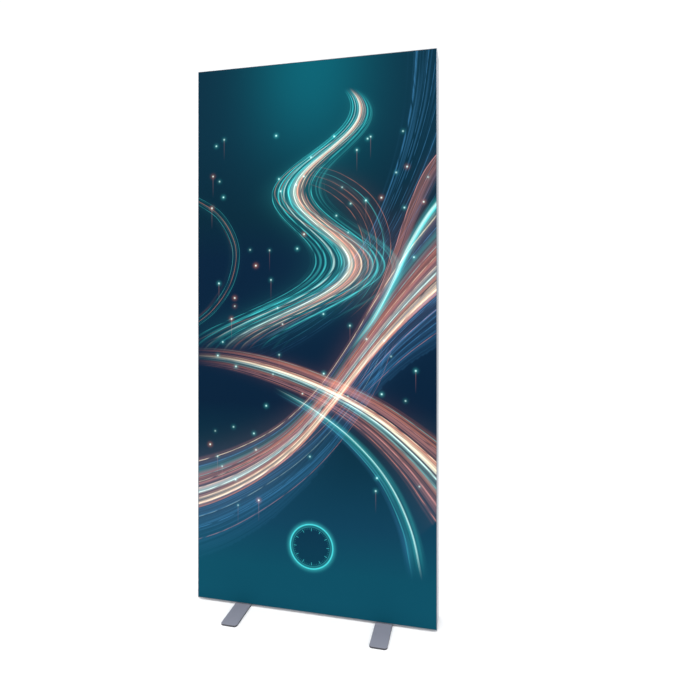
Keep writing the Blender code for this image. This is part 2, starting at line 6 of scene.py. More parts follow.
import math

import bmesh
import bpy
import numpy as np
from mathutils import Euler, Matrix, Vector


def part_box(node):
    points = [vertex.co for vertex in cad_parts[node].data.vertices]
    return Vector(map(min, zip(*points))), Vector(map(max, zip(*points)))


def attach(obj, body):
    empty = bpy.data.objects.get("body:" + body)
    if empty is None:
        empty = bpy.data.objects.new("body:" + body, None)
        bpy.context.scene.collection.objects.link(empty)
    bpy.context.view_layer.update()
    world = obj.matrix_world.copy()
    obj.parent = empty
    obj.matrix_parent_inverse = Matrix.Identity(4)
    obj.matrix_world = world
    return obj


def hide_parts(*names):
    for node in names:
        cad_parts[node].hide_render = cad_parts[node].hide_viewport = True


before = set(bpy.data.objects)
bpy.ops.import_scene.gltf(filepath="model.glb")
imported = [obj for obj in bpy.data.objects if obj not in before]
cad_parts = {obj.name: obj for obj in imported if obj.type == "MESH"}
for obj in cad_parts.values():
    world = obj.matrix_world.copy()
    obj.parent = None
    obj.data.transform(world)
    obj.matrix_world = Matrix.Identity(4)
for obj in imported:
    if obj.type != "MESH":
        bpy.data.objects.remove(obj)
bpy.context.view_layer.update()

bl_info = {
    "name": "Textile light box",
    "version": (1, 0, 0),
    "blender": (4, 5, 0),
    "location": "View3D > Sidebar > Light box",
    "description": "Builds the visible pieces of a free-standing LED textile light box",
    "category": "Object",
}

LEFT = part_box("rail_left_lower")[0].x
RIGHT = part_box("rail_right_lower")[1].x
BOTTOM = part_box("rail_bottom")[0].z
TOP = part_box("rail_top")[1].z
MILLIMETRE = 0.001


def linear(red, green, blue):
    """A colour's linear light from its 0 to 255 display values."""
    shares = (value / 255 for value in (red, green, blue))
    return tuple(s / 12.92 if s <= 0.04045 else ((s + 0.055) / 1.055) ** 2.4 for s in shares)


def colour_setting(name, description, red, green, blue):
    return bpy.props.FloatVectorProperty(
        name=name, description=description, subtype="COLOR", size=3, min=0, max=1,
        default=linear(red, green, blue),
    )


def length_setting(name, description, default):
    return bpy.props.FloatProperty(
        name=name, description=description, default=default, min=0, unit="LENGTH", precision=5
    )


class LIGHTBOX_print_settings(bpy.types.PropertyGroup):
    cell: length_setting("Cloth cell", "Spacing of the cloth's mesh", 0.0064)
    thickness: length_setting("Cloth thickness", "Thickness of the knitted textile", 0.0003)
    edge_radius: length_setting("Edge radius", "Radius of the cloth's turn into the groove", 0.0012)
    glow: bpy.props.FloatProperty(
        name="Glow", description="Share of the print's light that comes from behind", default=0.3
    )
    night: colour_setting("Night", "Background at the top", 11, 50, 70)
    deep: colour_setting("Deep", "Background across the middle", 8, 36, 61)
    dusk: colour_setting("Dusk", "Background below the trails", 13, 60, 83)
    lagoon: colour_setting("Lagoon", "Background at the foot", 14, 85, 107)
    cyan: colour_setting("Cyan trails", "Cool light trails", 70, 205, 205)
    pale: colour_setting("Pale trails", "Brightest cool light", 205, 245, 238)
    cream: colour_setting("Cream trails", "Brightest warm light", 250, 230, 195)
    copper: colour_setting("Copper trails", "Warm light trails", 214, 132, 100)
    rose: colour_setting("Rose trails", "Soft warm light trails", 190, 130, 125)
    blue: colour_setting("Blue trails", "Fine dim light trails", 60, 120, 165)
    reverse: colour_setting("Reverse", "Unprinted back of the cloth", 214, 216, 219)


class LIGHTBOX_frame_settings(bpy.types.PropertyGroup):
    softening: length_setting("Rail edges", "Radius on the rails' edges", 0.00025)
    mould_radius: length_setting("Moulded edges", "Radius on moulded plastic edges", 0.0006)
    aluminium: colour_setting("Aluminium", "Satin anodised rails", 156, 161, 168)
    plastic: colour_setting("Connector plastic", "Moulded connectors", 196, 197, 201)
    steel: colour_setting("Steel", "Zinc-plated fixings", 176, 178, 182)
    wall: colour_setting("Back wall", "Foam board of the back wall", 228, 227, 233)
    board: colour_setting("LED board", "Solder mask of the LED strips", 233, 232, 230)
    lens: colour_setting("Lens", "Smoky LED lenses", 74, 75, 78)
    silicone: colour_setting("Silicone", "Edging strips", 205, 208, 208)


class LIGHTBOX_feet_settings(bpy.types.PropertyGroup):
    bevel: length_setting("Plate edges", "Radius on the foot plates' edges", 0.0005)
    paint: colour_setting("Paint", "Powder coat on the feet", 130, 132, 144)
    rubber: colour_setting("Rubber", "Pads under the feet", 42, 43, 47)
    nylon: colour_setting("Nylon", "Washers between feet and frame", 70, 71, 74)


class LIGHTBOX_stage_settings(bpy.types.PropertyGroup):
    camera: bpy.props.FloatVectorProperty(
        name="Camera", description="Where the camera stands", subtype="XYZ", unit="LENGTH",
        size=3, default=(0.552, -1.866, 1.175),
    )
    turn: bpy.props.FloatProperty(
        name="Turn", description="Camera's turn from facing the print squarely", subtype="ANGLE",
        default=math.radians(12.68),
    )
    lens: bpy.props.FloatProperty(
        name="Lens", description="Focal length", default=26.9, subtype="DISTANCE_CAMERA"
    )
    drop: bpy.props.FloatProperty(
        name="Drop", description="Downward shift of the view", default=-0.085
    )
    floor: colour_setting("Floor", "Pale studio floor", 252, 252, 253)
    sky: bpy.props.FloatProperty(name="Sky", description="Strength of the even light", default=1.07)


# Small mesh tools

def placed(name, data):
    """A new object in the scene."""
    item = bpy.data.objects.new(name, data)
    bpy.context.scene.collection.objects.link(item)
    return item


def item_from(name, shape, materials):
    """Turn a bmesh into an object."""
    mesh = bpy.data.meshes.new(name)
    shape.to_mesh(mesh)
    shape.free()
    for material in materials:
        mesh.materials.append(material)
    return placed(name, mesh)


def piece_from(name, shape, materials, body):
    """Turn a bmesh into a finished piece that rides a body."""
    piece = item_from(name, shape, materials)
    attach(piece, body)
    return piece


def node_shape(node):
    """A welded copy of a CAD node's mesh, with its flat faces whole."""
    shape = bmesh.new()
    shape.from_mesh(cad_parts[node].data)
    bmesh.ops.remove_doubles(shape, verts=shape.verts, dist=1e-6)
    bmesh.ops.dissolve_limit(
        shape, angle_limit=math.radians(1), use_dissolve_boundaries=False, verts=shape.verts,
        edges=shape.edges,
    )
    for face in shape.faces:
        face.material_index = 0
    return shape


def rounded(shape, edges, radius, segments=2):
    """Round some edges and return the strips that this adds."""
    return bmesh.ops.bevel(
        shape, geom=edges, offset=radius, offset_type="OFFSET", affect="EDGES",
        segments=segments, profile=0.5, material=-1, clamp_overlap=True,
    )["faces"]


def soften(shape, radius, segments=2, from_angle=25):
    """Round the edges sharper than an angle and return the rounded strips."""
    sharp = [
        edge for edge in shape.edges
        if len(edge.link_faces) == 2 and edge.calc_face_angle(0) > math.radians(from_angle)
    ]
    return rounded(shape, sharp, radius, segments)


def shade(shape, angle=30):
    """Smooth shading that stays crisp on edges sharper than an angle."""
    for face in shape.faces:
        face.smooth = True
    for edge in shape.edges:
        edge.smooth = edge.calc_face_angle(0) < math.radians(angle)


def softened_piece(node, body, materials, radius, segments=2, from_angle=25):
    """Replace a CAD node by a rounded copy; a second material goes on its rounded strips."""
    shape = node_shape(node)
    strips = soften(shape, radius, segments, from_angle)
    if len(materials) > 1:
        for face in strips:
            face.material_index = 1
    shade(shape)
    piece = piece_from(f"{node}_finished", shape, materials, body)
    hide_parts(node)
    return piece


# Materials

class Value:
    """A shader value that takes arithmetic: each step adds a Math node."""

    def __init__(self, finish, socket):
        self.finish = finish
        self.socket = socket

    def __add__(self, other):
        return self.finish.math("ADD", self, other)

    def __sub__(self, other):
        return self.finish.math("SUBTRACT", self, other)

    def __rsub__(self, other):
        return self.finish.math("SUBTRACT", other, self)

    def __mul__(self, other):
        return self.finish.math("MULTIPLY", self, other)

    __radd__ = __add__
    __rmul__ = __mul__


class Finish:
    """A material and the nodes that feed its shader."""

    def __init__(self, name, roughness=0.5, metallic=0.0, specular=0.5):
        self.material = bpy.data.materials.new(name)
        self.material.use_nodes = True
        self.tree = self.material.node_tree
        self.shader = self.tree.nodes["Principled BSDF"]
        self.surface(Roughness=roughness, Metallic=metallic, Specular_IOR_Level=specular)

    def node(self, kind, inputs, output=0, stops=None, **settings):
        """Add a node with its settings, then its inputs, and return one of its outputs."""
        made = self.tree.nodes.new(f"ShaderNode{kind}")
        for key, value in settings.items():
            setattr(made, key, value)
        if stops:
            ramp = made.color_ramp
            while len(ramp.elements) > 1:
                ramp.elements.remove(ramp.elements[-1])
            ramp.elements[0].position = stops[0][0]
            ramp.elements[0].color = (*stops[0][1], 1)
            for position, colour in stops[1:]:
                ramp.elements.new(position).color = (*colour, 1)
        for key, value in inputs.items():
            self.feed(made.inputs[key], value)
        return Value(self, made.outputs[output])

    def feed(self, socket, value):
        if isinstance(value, Value):
            self.tree.links.new(value.socket, socket)
        elif socket.type == "RGBA":
            socket.default_value = (*tuple(value)[:3], 1)
        else:
            socket.default_value = value

    def surface(self, **values):
        """Feed the shader's sockets by name, with _ for a space."""
        for key, value in values.items():
            self.feed(self.shader.inputs[key.replace("_", " ")], value)
        return self.material

    def math(self, operation, *values):
        return self.node("Math", dict(enumerate(values)), operation=operation)

    def mix(self, factor, first, second, blend="MIX", **limits):
        inputs = {0: factor, 6: first, 7: second}
        return self.node("Mix", inputs, 2, data_type="RGBA", blend_type=blend, **limits)

    def scaled(self, colour, factor):
        return self.mix(factor, (0, 0, 0), colour, clamp_factor=False)

    def added(self, first, second, **limits):
        return self.mix(1, first, second, "ADD", **limits)

    def ramp(self, value, stops):
        return self.node("ValToRGB", {0: value}, stops=stops)

    def split(self, vector):
        made = self.node("SeparateXYZ", {0: vector})
        return [Value(self, socket) for socket in made.socket.node.outputs]

    def joined(self, x, y):
        return self.node("CombineXYZ", {0: x, 1: y})

    def here(self, scale=(1, 1, 1)):
        """The place on the piece, in metres, times a scale."""
        place = self.node("TexCoord", {}, 3)
        if scale == (1, 1, 1):
            return place
        return self.node("Mapping", {0: place, 3: scale})

    def own(self, name):
        """One of the piece's own attributes."""
        return self.node("Attribute", {}, attribute_name=name)

    def noise(self, vector, scale, detail=2.0, roughness=0.5, **settings):
        inputs = {"Vector": vector, "Scale": scale, "Detail": detail, "Roughness": roughness}
        return self.node("TexNoise", inputs, **settings)

    def rise(self, value, low, high):
        """0 below low, 1 above high and smooth between; falls where low is above high."""
        inputs = {"Value": value, "From Min": low, "From Max": high}
        return self.node("MapRange", inputs, interpolation_type="SMOOTHSTEP")

    def bell(self, value, centre, width):
        """1 at the centre and a soft fall to either side."""
        offset = (value - centre) * (1 / width)
        return self.math("EXPONENT", offset * offset * -1)

    def bump(self, height, distance, strength=1.0):
        inputs = {"Strength": strength, "Distance": distance, "Height": height}
        return self.node("Bump", inputs)


def tinted(colour, factor):
    return tuple(min(1.0, value * factor) for value in colour)


def grained(name, colour, roughness, metallic=0.0, specular=0.5, grain=(1, 1, 1), scale=400.0,
            depth=0.00002, spread=0.12, cloud=6.0, cloud_depth=0.05, coat=0.0):
    """A finish with a fine grain in its bump and gloss and slow changes in its colour."""
    finish = Finish(name, roughness, metallic, specular)
    fine = finish.noise(finish.here(grain), scale, 3.0, 0.6)
    slow = finish.noise(finish.here(), cloud, 2.0)
    dark, light = tinted(colour, 1 - cloud_depth), tinted(colour, 1 + cloud_depth)
    shade_of = finish.mix(finish.rise(slow, 0.3, 0.7), dark, light)
    speck = finish.mix(finish.rise(fine, 0.35, 0.7), tinted(colour, 0.92), tinted(colour, 1.05))
    gloss = roughness + (fine - 0.5) * spread + (slow - 0.5) * spread * 0.5
    if coat:
        finish.surface(Coat_Weight=coat, Coat_Roughness=0.25)
    return finish.surface(
        Base_Color=finish.mix(0.5, shade_of, speck),
        Roughness=gloss,
        Normal=finish.bump(fine, depth),
    )


# The artwork: crossing light trails, small lights and a ring, laid out in millimetres right
# and down from the frame's upper left corner

WINDING_STATIONS = 600
SWEEPING_STATIONS = 260
BATCH = 8000


def spline(at, rows, stations):
    """Rows of a smooth curve at stations along it."""
    at = np.asarray(at, float)
    rows = np.asarray(rows, float)
    slopes = np.gradient(rows, at, axis=0)
    index = np.clip(np.searchsorted(at, stations, side="right") - 1, 0, len(at) - 2)
    span = (at[index + 1] - at[index])[:, None]
    f = (stations[:, None] - at[index][:, None]) / span
    start = (2 * f**3 - 3 * f**2 + 1) * rows[index] + (f**3 - 2 * f**2 + f) * span * slopes[index]
    end = (3 * f**2 - 2 * f**3) * rows[index + 1] + (f**3 - f**2) * span * slopes[index + 1]
    return start + end


def faded(share, ends):
    """Rises over the first share and falls over the last one."""
    rise = np.clip(share / max(ends[0], 1e-6), 0, 1)
    fall = np.clip((1 - share) / max(ends[1], 1e-6), 0, 1)
    return rise * rise * (3 - 2 * rise) * fall * fall * (3 - 2 * fall)


def winding(across, down, knots, ends):
    """Places relative to a trail that winds downwards: (down, across, half width) knots."""
    knots = np.asarray(knots, float)
    stations = np.linspace(knots[0, 0], knots[-1, 0], WINDING_STATIONS)
    rows = spline(knots[:, 0], knots[:, 1:], stations)
    centre = np.interp(down, stations, rows[:, 0])
    half = np.interp(down, stations, rows[:, 1])
    steps = np.hypot(np.diff(rows[:, 0]), np.diff(stations))
    travelled = np.concatenate(([0], np.cumsum(steps)))
    along = np.interp(down, stations, travelled)
    share = (down - knots[0, 0]) / (knots[-1, 0] - knots[0, 0])
    fade = np.where((share > 0) & (share < 1), faded(np.clip(share, 0, 1), ends), 0)
    return np.stack(((across - centre) / half, along * MILLIMETRE, fade), axis=1)


def sweeping(across, down, knots, ends):
    """Places relative to a trail along any open curve: (across, down, half width) knots."""
    knots = np.asarray(knots, float)
    gaps = np.hypot(*np.diff(knots[:, :2], axis=0).T)
    at = np.concatenate(([0], np.cumsum(gaps)))
    stations = np.linspace(0, at[-1], SWEEPING_STATIONS)
    rows = spline(at, knots, stations)
    ways = np.gradient(rows[:, :2], axis=0)
    ways /= np.hypot(ways[:, 0], ways[:, 1])[:, None]
    result = np.empty((len(across), 3))
    for low in range(0, len(across), BATCH):
        part = slice(low, low + BATCH)
        right = across[part][:, None] - rows[:, 0]
        below = down[part][:, None] - rows[:, 1]
        nearest = np.argmin(right * right + below * below, axis=1)
        pick = np.arange(len(nearest))
        right, below = right[pick, nearest], below[pick, nearest]
        way = ways[nearest]
        beyond = way[:, 0] * right + way[:, 1] * below
        side = way[:, 0] * below - way[:, 1] * right
        share = np.clip((stations[nearest] + beyond) / at[-1], 0, 1)
        result[part, 0] = side / rows[nearest, 2]
        result[part, 1] = (stations[nearest] + beyond) * MILLIMETRE
        result[part, 2] = faded(share, ends)
    return result


STREAM_TOP = 110
STREAM_RUN = 960
STREAM_KNOTS = 25


def stream(sway, half):
    """Knots of a stream whose bends widen on the way down."""
    knots = []
    for share in np.linspace(0, 1, STREAM_KNOTS):
        turn = math.tau * 1.75 * share**0.8
        across = 590 - 250 * share + (45 + 190 * share) * sway * math.sin(turn)
        knots.append((STREAM_TOP + STREAM_RUN * share, across, half * (0.12 + 0.88 * share)))
    return knots


# Each trail: its route, the share over which it fades in and out, the span of its ramps across,
# its haze, its fine streaks as (lines across, changes along, lowest, highest), its body as
# (place across, colour, strength) and its bright lines as (place, half width, colour, strength).
# Places across are in half widths, positive to the right of a winding trail and on the
# clockwise side of a sweeping one.
TRAILS = {
    "stream": dict(
        route=winding, knots=stream(1.0, 158), ends=(0.04, 0.18), span=(-1.5, 1.9),
        haze=("cyan", 0.085), streaks=(5.5, 2.2, 0.46, 0.74),
        body=((-1.4, "cyan", 0), (-1.05, "cyan", 0.34), (-0.7, "cyan", 0.46),
              (-0.35, "cyan", 0.42), (-0.05, "pale", 0.3), (0.25, "copper", 0.5),
              (0.6, "rose", 0.3), (0.9, "cyan", 0.3), (1.25, "cyan", 0.26), (1.8, "blue", 0)),
        lines=((-1.18, 0.035, "cyan", 0.6), (-0.85, 0.045, "cyan", 0.8),
               (-0.56, 0.05, "pale", 0.7), (-0.3, 0.04, "cyan", 0.7), (-0.04, 0.035, "pale", 0.85),
               (0.16, 0.04, "copper", 0.9), (0.36, 0.035, "cream", 0.8),
               (0.58, 0.035, "copper", 0.6), (0.88, 0.045, "cyan", 0.7)),
    ),
    "stream_core": dict(
        route=winding, knots=stream(1.0, 27), ends=(0.05, 0.4), span=(-3.0, 3.0),
        haze=("pale", 0.07), streaks=(1.6, 3.0, 0.15, 0.6),
        body=((-2.8, "cyan", 0), (-1.5, "cyan", 0.12), (-0.8, "pale", 0.16), (-0.2, "cream", 0.34),
              (0.3, "cream", 0.42), (0.9, "copper", 0.5), (1.7, "copper", 0.16),
              (2.8, "copper", 0)),
        lines=((-0.25, 0.3, "rose", 0.3), (0.3, 0.3, "cream", 0.5), (1.0, 0.25, "copper", 0.45)),
    ),
    "stream_loops": dict(
        route=winding, knots=stream(1.35, 90), ends=(0.1, 0.25), span=(-1.5, 1.5),
        haze=("cyan", 0.03), streaks=(4.0, 3.0, 0.5, 0.8),
        body=((-1.2, "copper", 0), (-0.6, "copper", 0.2), (0.3, "cyan", 0.25), (1.2, "cyan", 0)),
        lines=((-0.9, 0.06, "copper", 0.55), (-0.3, 0.05, "copper", 0.4),
               (0.35, 0.07, "cyan", 0.65), (1.0, 0.06, "cyan", 0.5)),
    ),
    "right_arcs": dict(
        route=sweeping, ends=(0.3, 0.35), span=(-1.5, 1.5), haze=("copper", 0.03),
        streaks=(3.0, 3.0, 0.5, 0.8),
        knots=((400, 400, 30), (540, 450, 40), (650, 550, 48), (690, 680, 50), (640, 820, 44),
               (540, 930, 34)),
        body=((-1.2, "cyan", 0), (-0.6, "cyan", 0.1), (0.4, "copper", 0.12), (1.2, "cyan", 0)),
        lines=((-1.0, 0.035, "copper", 0.5), (-0.5, 0.04, "cyan", 0.5), (0.0, 0.03, "copper", 0.5),
               (0.45, 0.03, "copper", 0.4), (0.95, 0.035, "copper", 0.5)),
    ),
    "left_arc": dict(
        route=sweeping, ends=(0.01, 0.01), span=(-2.0, 2.0), haze=("cyan", 0.02),
        streaks=(1.5, 3.0, 0.5, 0.8),
        knots=((-30, 480, 14), (90, 560, 16), (150, 680, 16), (130, 800, 15), (60, 900, 14),
               (-30, 970, 12)),
        body=((-1.5, "cyan", 0), (-0.8, "cyan", 0.18), (0.8, "copper", 0.1), (1.6, "copper", 0)),
        lines=((-1.2, 0.07, "cyan", 0.4), (-0.35, 0.08, "copper", 0.7), (0.5, 0.07, "cyan", 0.55)),
    ),
    "high_fan": dict(
        route=sweeping, ends=(0.02, 0.3), span=(-1.3, 1.3), haze=("blue", 0.01),
        streaks=(10.0, 1.1, 0.47, 0.78),
        knots=((980, -40, 170), (920, 220, 130), (820, 480, 96), (680, 720, 70), (490, 900, 62),
               (280, 1020, 66), (60, 1100, 76)),
        body=((-1.2, "blue", 0), (-0.8, "blue", 0.08), (-0.2, "blue", 0.12), (0.45, "blue", 0.2),
              (0.8, "blue", 0.34), (0.92, "blue", 0.18), (1.1, "blue", 0)),
        lines=((-0.8, 0.014, "blue", 0.4), (-0.5, 0.014, "blue", 0.45),
               (-0.25, 0.014, "blue", 0.4), (0.0, 0.014, "blue", 0.45),
               (0.22, 0.014, "blue", 0.45), (0.42, 0.014, "blue", 0.5), (0.6, 0.014, "blue", 0.5),
               (0.86, 0.04, "blue", 0.6)),
    ),
    "copper_ribbon": dict(
        route=sweeping, ends=(0.01, 0.25), span=(-1.5, 1.5), haze=("copper", 0.03),
        streaks=(2.5, 2.0, 0.2, 0.7),
        knots=((960, 330, 24), (880, 430, 26), (820, 560, 24), (770, 700, 21), (710, 840, 16),
               (630, 970, 10)),
        body=((-1.15, "rose", 0), (-0.7, "rose", 0.16), (0.0, "rose", 0.3), (0.7, "copper", 0.34),
              (1.05, "copper", 0)),
        lines=((0.95, 0.09, "rose", 1.0), (0.2, 0.05, "copper", 0.3)),
    ),
    "cyan_ribbon": dict(
        route=sweeping, ends=(0.01, 0.3), span=(-3.0, 3.0), haze=("cyan", 0.12),
        streaks=(1.2, 3.0, 0.1, 0.6),
        knots=((960, 470, 10), (880, 560, 10), (810, 670, 9), (750, 800, 8), (680, 930, 7),
               (580, 1060, 5)),
        body=((-2.8, "cyan", 0), (-1.0, "cyan", 0.3), (-0.6, "cyan", 0.95), (0.5, "pale", 0.8),
              (0.95, "cyan", 0.25), (2.4, "cyan", 0)),
        lines=((0.1, 0.3, "pale", 0.35),),
    ),
    "rising_flow": dict(
        route=sweeping, ends=(0.01, 0.01), span=(-1.5, 1.3), haze=("rose", 0.08),
        streaks=(6.0, 1.0, 0.22, 0.68),
        knots=((980, 640, 112), (860, 760, 92), (740, 900, 68), (620, 1060, 48), (500, 1220, 44),
               (360, 1370, 56), (200, 1480, 72), (20, 1560, 86), (-80, 1590, 92)),
        body=((-1.3, "blue", 0.12), (-1.02, "blue", 0.2), (-0.96, "copper", 0.8),
              (-0.72, "cream", 0.7), (-0.5, "copper", 0.65), (-0.36, "pale", 0.5),
              (-0.12, "rose", 0.5), (0.14, "copper", 0.6), (0.34, "rose", 0.4),
              (0.52, "cyan", 0.22), (0.75, "blue", 0.25), (1.0, "rose", 0.2), (1.15, "blue", 0)),
        lines=((-0.84, 0.06, "cream", 0.8), (-0.62, 0.03, "cream", 0.6),
               (-0.38, 0.035, "pale", 0.8), (-0.2, 0.02, "cream", 0.6), (0.05, 0.02, "cream", 0.5),
               (0.28, 0.018, "cyan", 0.6), (0.94, 0.025, "cream", 0.75), (0.7, 0.02, "blue", 0.7)),
    ),
    "rising_shade": dict(
        route=sweeping, ends=(0.01, 0.3), span=(-1.3, 1.3), haze=("blue", 0.05),
        streaks=(6.0, 1.5, 0.46, 0.7),
        knots=((980, 830, 80), (870, 920, 70), (760, 1020, 56), (660, 1130, 42), (570, 1230, 32)),
        body=((-1.1, "blue", 0), (-0.6, "blue", 0.5), (0.5, "blue", 0.6), (1.1, "blue", 0)),
        lines=((-0.9, 0.022, "rose", 0.7), (-0.5, 0.02, "blue", 0.7), (0.0, 0.022, "rose", 0.7),
               (0.35, 0.02, "blue", 0.8), (0.7, 0.02, "blue", 0.8)),
    ),
    "falling_band": dict(
        route=sweeping, ends=(0.4, 0.01), span=(-1.6, 1.6), haze=("rose", 0.08),
        streaks=(5.0, 1.0, 0.3, 0.68),
        knots=((-80, 1080, 22), (120, 1090, 28), (320, 1130, 34), (520, 1200, 40), (690, 1290, 52),
               (830, 1400, 66), (980, 1550, 90)),
        body=((-1.5, "rose", 0), (-1.0, "copper", 0.5), (-0.6, "rose", 0.45),
              (-0.35, "copper", 0.7), (-0.12, "cream", 0.9), (0.1, "pale", 0.7),
              (0.3, "cyan", 0.4), (0.6, "copper", 0.5), (1.0, "rose", 0.45), (1.5, "copper", 0)),
        lines=((-1.2, 0.03, "cyan", 0.5), (-0.85, 0.03, "rose", 0.7), (-0.4, 0.04, "cream", 0.8),
               (-0.12, 0.11, "cream", 0.9), (0.14, 0.05, "pale", 0.8), (0.42, 0.03, "cyan", 0.6),
               (0.85, 0.035, "rose", 0.7), (1.25, 0.03, "copper", 0.6)),
    ),
    "cyan_edge": dict(
        route=sweeping, ends=(0.2, 0.15), span=(-3.0, 3.0), haze=("cyan", 0.1),
        streaks=(1.0, 2.0, 0.2, 0.8),
        knots=((300, 1190, 8), (460, 1270, 10), (600, 1370, 12), (720, 1500, 14), (800, 1660, 16),
               (840, 1840, 18)),
        body=((-2.2, "cyan", 0), (-0.8, "cyan", 0.3), (0.3, "cyan", 0.35), (1.2, "blue", 0.35),
              (2.6, "blue", 0)),
        lines=((-0.5, 0.28, "pale", 0.85), (1.3, 0.2, "cyan", 0.4)),
    ),
    "low_fan": dict(
        route=sweeping, ends=(0.08, 0.01), span=(-1.3, 1.3), haze=("blue", 0.05),
        streaks=(7.0, 1.0, 0.5, 0.76),
        knots=((720, 980, 42), (650, 1140, 54), (540, 1290, 68), (400, 1430, 84), (230, 1550, 100),
               (60, 1640, 112), (-80, 1690, 118)),
        body=((-1.2, "blue", 0), (-0.7, "blue", 0.35), (0.0, "blue", 0.45), (0.6, "rose", 0.3),
              (1.1, "rose", 0)),
        lines=((-0.95, 0.018, "rose", 0.55), (-0.6, 0.02, "blue", 0.6),
               (-0.25, 0.016, "pale", 0.35), (0.15, 0.018, "rose", 0.6), (0.5, 0.018, "rose", 0.5),
               (0.85, 0.02, "rose", 0.5)),
    ),
}

# The background's shade by distance down, and the glow near its top
BACKGROUND = (
    (0, "night", 0.76), (250, "night", 0.78), (560, "night", 0.62), (720, "deep", 0.88),
    (1000, "deep", 0.88), (1250, "deep", 0.82), (1390, "dusk", 0.55), (1560, "dusk", 0.86),
    (1680, "dusk", 1.06), (1850, "lagoon", 0.79), (1950, "lagoon", 0.83), (2000, "lagoon", 0.79),
)
GLOW_CENTRE = (450, 30)
GLOW_SPREAD = (230, 330)

LIGHTS = 72
LIGHT_SEED = 11
LIGHTS_FROM = (30, 240)
LIGHTS_TO = (870, 1640)
STEM_LENGTH = 80
STEM_REACH = 8

RING = (450, 1760)
RING_RADIUS = 80
# (count, inner radius, half width, strength)
RING_MARKS = ((12, 56, 1.4, 0.55), (60, 62, 0.7, 0.35))
MARKS_OUTER = 67


def small_lights():
    """Scattered lights as (across, down, strength); a warm one has its sign turned."""
    draw = np.random.default_rng(LIGHT_SEED)
    places = draw.uniform(LIGHTS_FROM, LIGHTS_TO, (LIGHTS, 2))
    strength = draw.uniform(0.5, 1.2, LIGHTS)
    strength[::5] *= -1.15
    return np.column_stack((places, strength))


def lay_out_artwork(piece, settings):
    """Store each trail's places, the haze, the lights, their stems and the rim's distance, which
    sets the painted shade along the cloth's edges.
    """
    mesh = piece.data
    places = np.empty(len(mesh.vertices) * 3)
    mesh.vertices.foreach_get("co", places)
    places = places.reshape(-1, 3)
    across = (places[:, 0] - LEFT) / MILLIMETRE
    down = (TOP - places[:, 2]) / MILLIMETRE

    def store(name, rows, domain="POINT"):
        layer = mesh.attributes.new(name, "FLOAT_VECTOR", domain)
        layer.data.foreach_set("vector", np.ascontiguousarray(rows, dtype=np.float32).ravel())

    haze = np.zeros((len(across), 3))
    for name, trail in TRAILS.items():
        rows = trail["route"](across, down, trail["knots"], trail["ends"])
        colour, strength = trail["haze"]
        soft = rows[:, 2] * strength * np.exp(-((rows[:, 0] / 1.25) ** 2))
        haze += soft[:, None] * np.array(getattr(settings, colour)[:])
        clear = max(map(abs, trail["span"])) + 1.5
        rows[:, 2] *= np.abs(rows[:, 0]) < clear
        rows[:, 0] = np.clip(rows[:, 0], -20, 20)
        store(name, rows)
    store("haze", haze)

    corners = np.empty(len(mesh.loops), dtype=np.int32)
    mesh.loops.foreach_get("vertex_index", corners)
    corner_across, corner_down = across[corners], down[corners]
    face_across = np.repeat(corner_across.reshape(-1, 4).mean(axis=1), 4)
    face_down = np.repeat(corner_down.reshape(-1, 4).mean(axis=1), 4)
    spots = small_lights()
    aside = face_across[::4, None] - spots[:, 0]
    below = face_down[::4, None] - spots[:, 1]
    pick = np.repeat(np.argmin(aside * aside + below * below, axis=1), 4)
    offsets = corner_across - spots[pick, 0], spots[pick, 1] - corner_down
    store("lights", np.stack((*offsets, spots[pick, 2]), axis=1), "CORNER")
    stems = np.zeros((len(corners), 3))
    for at, top, strength in spots[::4]:
        drop = (corner_down - top) / STEM_LENGTH
        beside = np.abs(face_across - at) < STEM_REACH
        near = beside & (np.abs(face_down - top - STEM_LENGTH / 2) < STEM_LENGTH / 2)
        stems[near, 0] = (corner_across - at)[near]
        stems[near, 1] = (abs(strength) * 0.5 * (1 - np.clip(drop, 0, 1)))[near]
    store("stems", stems, "CORNER")
    # Distance in millimetres to the cloth's nearest edge, up to 30; it sets the painted shade where
    # the cloth turns into the groove.
    rim = np.zeros((len(across), 3))
    rim[:, 0] = np.minimum(
        np.minimum(across, (RIGHT - LEFT) / MILLIMETRE - across),
        np.minimum(down, (TOP - BOTTOM) / MILLIMETRE - down),
    )
    store("rim", np.clip(rim, 0, 30))


def across_ramp(trail, stops, settings):
    """Stops of a ramp across a trail from (place, colour, strength) rows."""
    low, high = trail["span"]
    rows = []
    for place, colour, strength in stops:
        tint = tinted(getattr(settings, colour), strength)
        rows.append(((place - low) / (high - low), tint))
    return rows


def line_stops(lines):
    """Each line as a dark, bright, dark run of stops."""
    stops = []
    for place, half, colour, strength in sorted(lines):
        stops.append((place - half, colour, 0.0))
        stops.append((place, colour, strength))
        stops.append((place + half, colour, 0.0))
    return stops


WOBBLE = 0.04


def trail_light(finish, name, trail, settings):
    """The light of one trail: a streaked body and its bright lines."""
    side, along, fade = finish.split(finish.own(name))
    low, high = trail["span"]
    lines_across, changes, dim, bright = trail["streaks"]
    grain = finish.joined(side * lines_across, along * changes)
    streaks = finish.noise(grain, 1.0, 3.0, 0.62, noise_dimensions="2D")
    share = (side + (streaks - 0.5) * WOBBLE - low) * (1 / (high - low))
    body = finish.ramp(share, across_ramp(trail, trail["body"], settings))
    body = finish.scaled(body, finish.rise(streaks, dim, bright) * fade)
    swing = {"W": side * 1.7 + along * 4.0, "Detail": 1.0}
    swell = finish.node("TexNoise", swing, noise_dimensions="1D")
    lines = finish.ramp(share, across_ramp(trail, line_stops(trail["lines"]), settings))
    lines = finish.scaled(lines, finish.rise(swell, 0.2, 0.6) * fade)
    return finish.added(body, lines)


